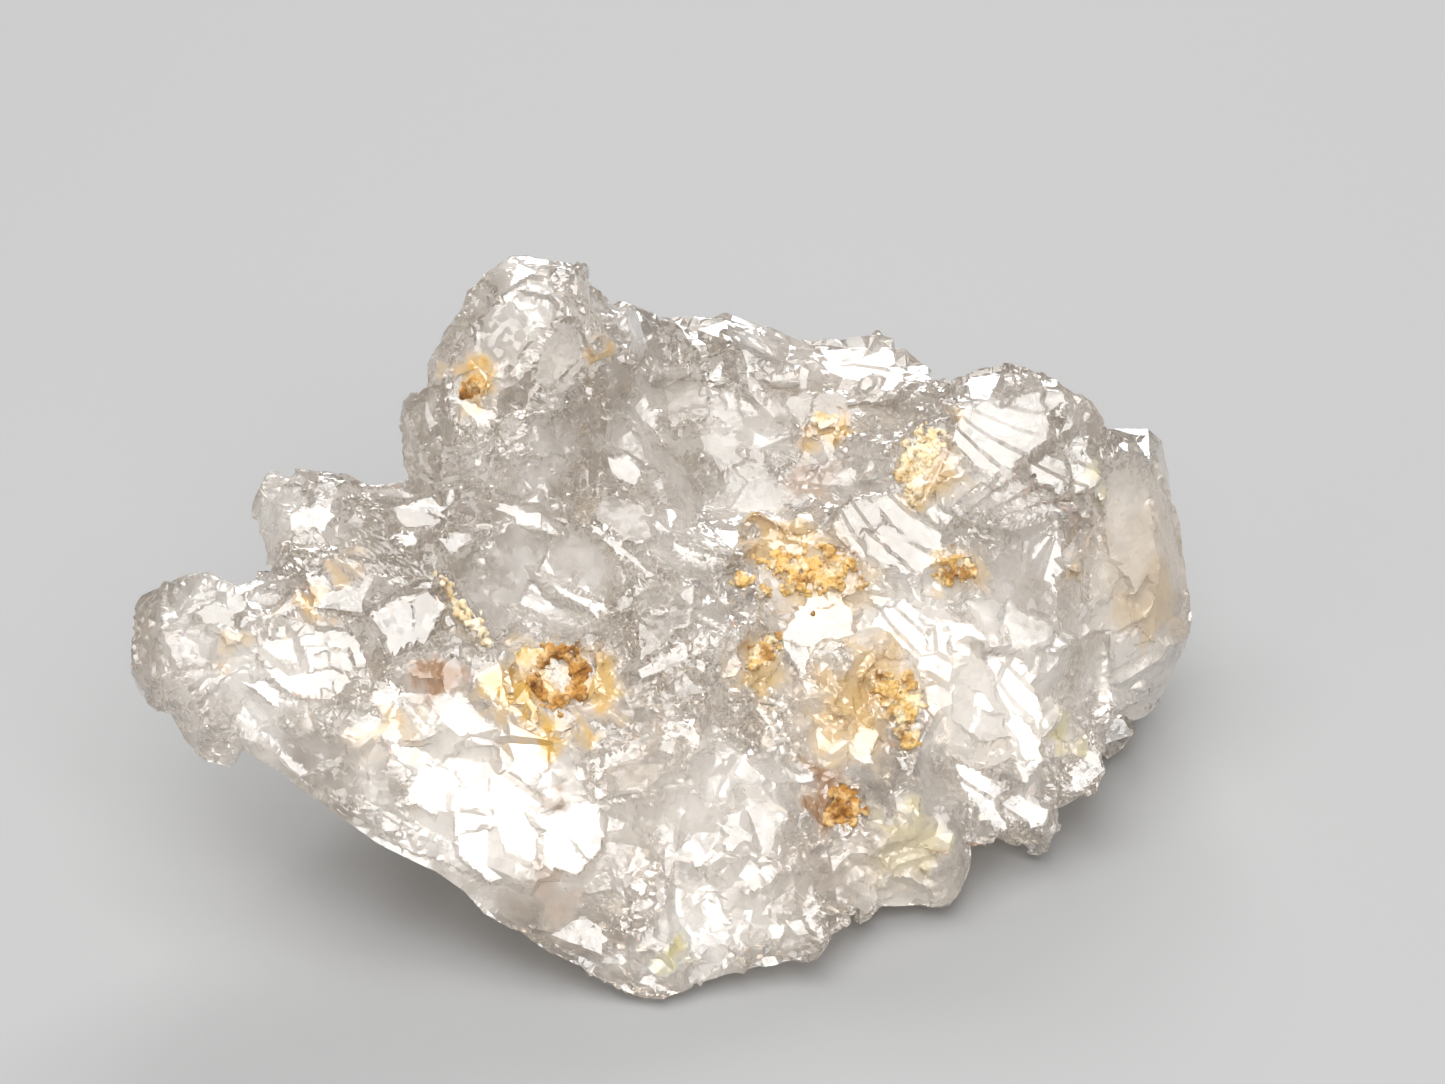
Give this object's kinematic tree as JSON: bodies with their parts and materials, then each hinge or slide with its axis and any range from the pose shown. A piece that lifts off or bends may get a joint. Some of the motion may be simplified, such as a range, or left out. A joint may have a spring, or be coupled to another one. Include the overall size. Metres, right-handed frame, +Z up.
{
  "type": "goshenite specimen",
  "caption": "Broken, naturally etched piece of water-clear beryl, faceted and pitted, with iron-stained clay lodged in its pits, leaning back as it rests.",
  "frame": {"origin": "centre of the bounding box, at the surface that the specimen rests on", "axes": "+X along the specimen's longest side, to the right as its show face is looked at; the show face looks towards -Y and leans back, its normal 30 degrees above level; +Z up"},
  "size_m": [0.0438, 0.0298, 0.0235],
  "materials": {
    "goshenite": "clear, faintly beige beryl with vitreous, etched and stepped facets",
    "golden_clay": "matt golden-brown iron-stained clay, crumbly",
    "rust_clay": "matt rust-brown iron-stained clay, crumbly",
    "pale_clay": "matt pale straw-coloured clay, crumbly"
  },
  "bodies": {
    "root": {"goshenite_crystal": "goshenite", "clay_centre_pit": "golden_clay", "clay_left_pit": "rust_clay", "clay_top_vein": "pale_clay", "clay_right_pit": "golden_clay", "clay_lower_right": "golden_clay", "clay_lower_pit": "rust_clay", "clay_middle_crumb": "golden_clay", "clay_small_crumb": "golden_clay", "clay_left_seam": "pale_clay", "clay_fin_pit": "rust_clay", "clay_upper_crumb": "pale_clay"}
  },
  "joints": []
}
